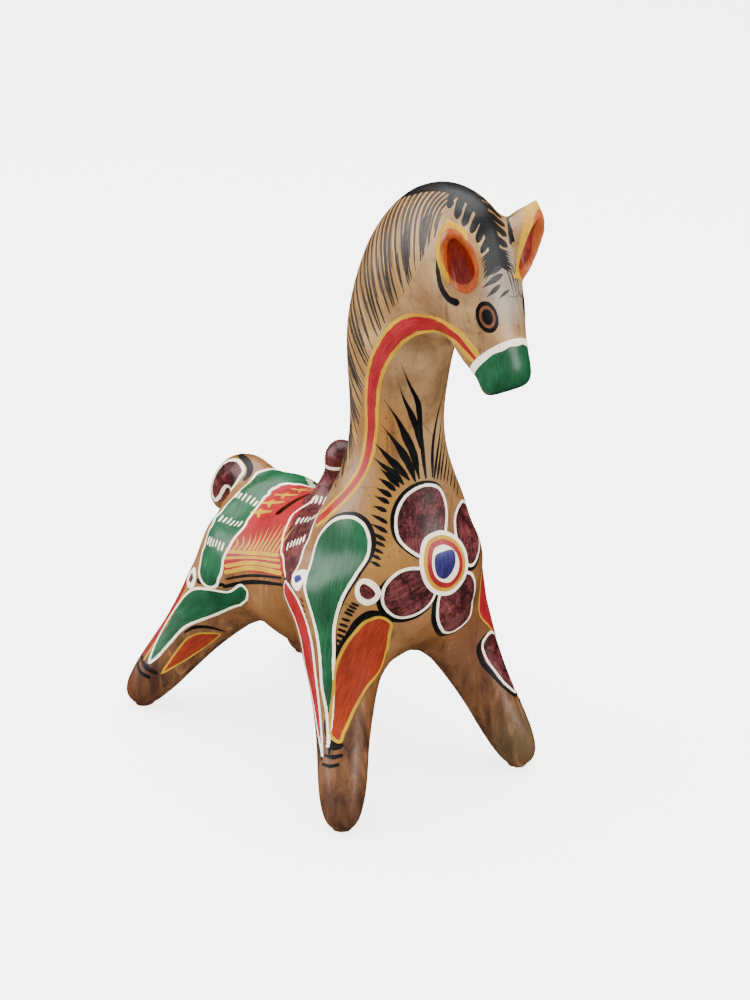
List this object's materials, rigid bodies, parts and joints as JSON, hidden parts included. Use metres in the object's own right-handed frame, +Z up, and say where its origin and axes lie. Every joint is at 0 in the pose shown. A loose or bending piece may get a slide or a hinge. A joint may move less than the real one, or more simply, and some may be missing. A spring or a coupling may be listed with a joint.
{
  "type": "horse coin bank",
  "caption": "Hollow painted clay horse standing on splayed peg legs, with an arched neck, cupped ears, a curled tail and a coin slot across its saddle.",
  "frame": {"origin": "on the ground under the middle of the overall box", "axes": "+X out of the chest, +Y to the horse's left, +Z up"},
  "size_m": [0.2294, 0.1244, 0.2902],
  "materials": {
    "clay": "burnished and varnished",
    "green_paint": "gloss",
    "red_paint": "gloss",
    "maroon_paint": "gloss",
    "orange_paint": "gloss",
    "yellow_paint": "gloss",
    "white_paint": "satin",
    "black_paint": "satin",
    "blue_paint": "gloss"
  },
  "bodies": {
    "root": {"barrel_left": "clay", "barrel_right": "clay", "neck_head_left": "clay", "neck_head_right": "clay", "leg_front_left": "clay", "leg_front_right": "clay", "leg_rear_left": "clay", "leg_rear_right": "clay", "ear_left": "clay", "ear_right": "clay", "saddle_cantle": "clay", "saddle_horn": "clay", "tail": "clay"}
  },
  "joints": []
}
